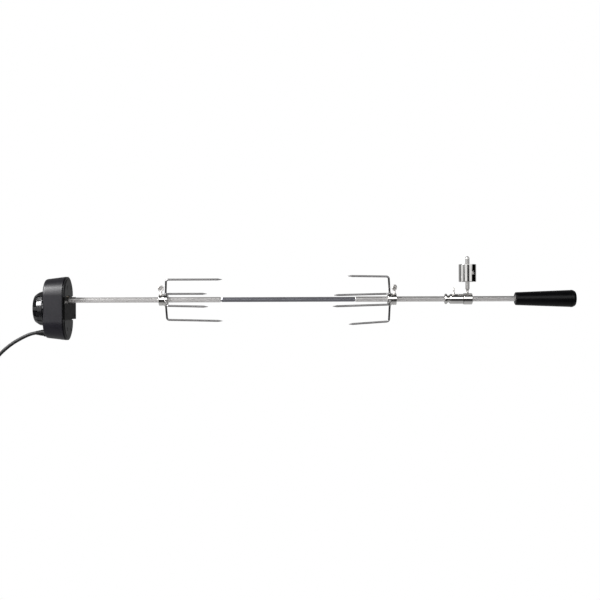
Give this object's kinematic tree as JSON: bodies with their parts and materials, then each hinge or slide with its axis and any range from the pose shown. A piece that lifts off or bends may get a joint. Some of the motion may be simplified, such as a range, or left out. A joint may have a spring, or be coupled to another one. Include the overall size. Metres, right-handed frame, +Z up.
{
  "type": "grill rotisserie kit",
  "caption": "Grill rotisserie kit: a geared motor turns a hexagonal spit with two pronged forks, a grooved bushing, a counterweight and a handle.",
  "frame": {"origin": "on the spit's axis, at the outer face of the mounting bracket, which rests against the grill's side", "axes": "+X along the spit from the motor to the handle, +Z up, +Y away from the side that the drive cover's plain side faces"},
  "size_m": [1.2492, 0.1073, 0.463],
  "materials": {
    "black_plastic": "fine moulded texture, satin",
    "gloss_black": "smooth moulded gloss",
    "bracket_black": "black powder coat",
    "screw_steel": "machined, bright",
    "inner_steel": "plain machined",
    "brass": "machined",
    "gear_nylon": "moulded nylon",
    "spit_steel": "cold drawn, fine lengthwise grain",
    "polished_steel": "turned and polished",
    "wire_steel": "drawn wire, satin",
    "handle_black": "moulded, satin gloss",
    "cord_black": "soft moulded jacket"
  },
  "bodies": {
    "motor": {"motor_housing": "black_plastic", "face_cover": "black_plastic", "cover_screws": "screw_steel", "drum_cap": "gloss_black", "mounting_bracket": "bracket_black", "bracket_screws": "screw_steel", "motor_can": "inner_steel", "motor_plate": "inner_steel", "gearbox_plate": "inner_steel", "gearbox_posts": "inner_steel", "idler_axle": "inner_steel", "socket_bushing": "brass", "cord_gland": "cord_black", "power_cord": "cord_black", "cord_coil": "cord_black", "cord_tail": "cord_black", "cord_tie": "cord_black", "power_plug": "cord_black"},
    "rotor": {"rotor_pinion": "brass"},
    "idler": {"idler_gear": "gear_nylon"},
    "drive": {"drive_gear": "gear_nylon", "drive_socket": "inner_steel"},
    "spit": {"spit_rod_drive": "spit_steel", "spit_rod_middle": "spit_steel", "spit_rod_handle": "spit_steel"},
    "handle": {"handle_insert": "inner_steel", "handle_grip": "handle_black"},
    "left_fork": {"left_fork_collar": "polished_steel", "left_fork_long_prongs": "wire_steel", "left_fork_short_prongs": "wire_steel"},
    "left_fork_thumb_screw": {"left_fork_screw": "screw_steel"},
    "right_fork": {"right_fork_collar": "polished_steel", "right_fork_long_prongs": "wire_steel", "right_fork_short_prongs": "wire_steel"},
    "right_fork_thumb_screw": {"right_fork_screw": "screw_steel"},
    "bushing": {"spit_bushing": "polished_steel"},
    "bushing_thumb_screw": {"bushing_screw": "screw_steel"},
    "hub": {"counterweight_hub": "polished_steel"},
    "arm": {"counterweight_arm": "polished_steel"},
    "weight": {"counterweight": "polished_steel"},
    "weight_lock_screw": {"counterweight_screw": "screw_steel"}
  },
  "joints": [
    {"name": "spit_spin", "type": "hinge", "parent": "motor", "child": "drive", "pos_m": [0, 0, 0], "axis": [1, 0, 0], "continuous": true},
    {"name": "idler_spin", "type": "hinge", "parent": "motor", "child": "idler", "pos_m": [0, 0.01734, -0.00825], "axis": [1, 0, 0], "continuous": true},
    {"name": "rotor_spin", "type": "hinge", "parent": "motor", "child": "rotor", "pos_m": [0, 0, -0.0165], "axis": [1, 0, 0], "continuous": true},
    {"name": "spit_pull_out", "type": "slide", "parent": "drive", "child": "spit", "axis": [1, 0, 0], "range_m": [0, 0.03]},
    {"name": "handle_unscrew", "type": "hinge", "parent": "spit", "child": "handle", "pos_m": [0.9, 0, 0], "axis": [1, 0, 0], "range_deg": [0, 990]},
    {"name": "left_fork_slide", "type": "slide", "parent": "spit", "child": "left_fork", "axis": [1, 0, 0], "range_m": [-0.15, 0.12]},
    {"name": "left_fork_screw_turn", "type": "hinge", "parent": "left_fork", "child": "left_fork_thumb_screw", "pos_m": [0.1845, 0, 0], "axis": [0, -0.2588, 0.9659], "range_deg": [0, 990]},
    {"name": "right_fork_slide", "type": "slide", "parent": "spit", "child": "right_fork", "axis": [1, 0, 0], "range_m": [-0.2, 0.09]},
    {"name": "right_fork_screw_turn", "type": "hinge", "parent": "right_fork", "child": "right_fork_thumb_screw", "pos_m": [0.6505, 0, 0], "axis": [0, -0.2588, 0.9659], "range_deg": [0, 990]},
    {"name": "bushing_slide", "type": "slide", "parent": "spit", "child": "bushing", "axis": [1, 0, 0], "range_m": [-0.09, 0]},
    {"name": "bushing_screw_turn", "type": "hinge", "parent": "bushing", "child": "bushing_thumb_screw", "pos_m": [0.769, 0, 0], "axis": [0, -0.2588, 0.9659], "range_deg": [0, 990]},
    {"name": "counterweight_turn", "type": "hinge", "parent": "spit", "child": "hub", "pos_m": [0.797, 0, 0], "axis": [1, 0, 0], "continuous": true},
    {"name": "arm_screw_turn", "type": "hinge", "parent": "hub", "child": "arm", "pos_m": [0.797, 0, 0], "axis": [0, 0, 1], "range_deg": [0, 990]},
    {"name": "weight_slide", "type": "slide", "parent": "arm", "child": "weight", "axis": [0, 0, 1], "range_m": [-0.015, 0.012]},
    {"name": "lock_screw_turn", "type": "hinge", "parent": "weight", "child": "weight_lock_screw", "pos_m": [0.797, 0, 0.0515], "axis": [0.5, -0.866, 0], "range_deg": [0, 990]}
  ],
  "couplings": [
    {"joint": "idler_spin", "follows": "spit_spin", "ratio": -3},
    {"joint": "rotor_spin", "follows": "spit_spin", "ratio": 9}
  ]
}
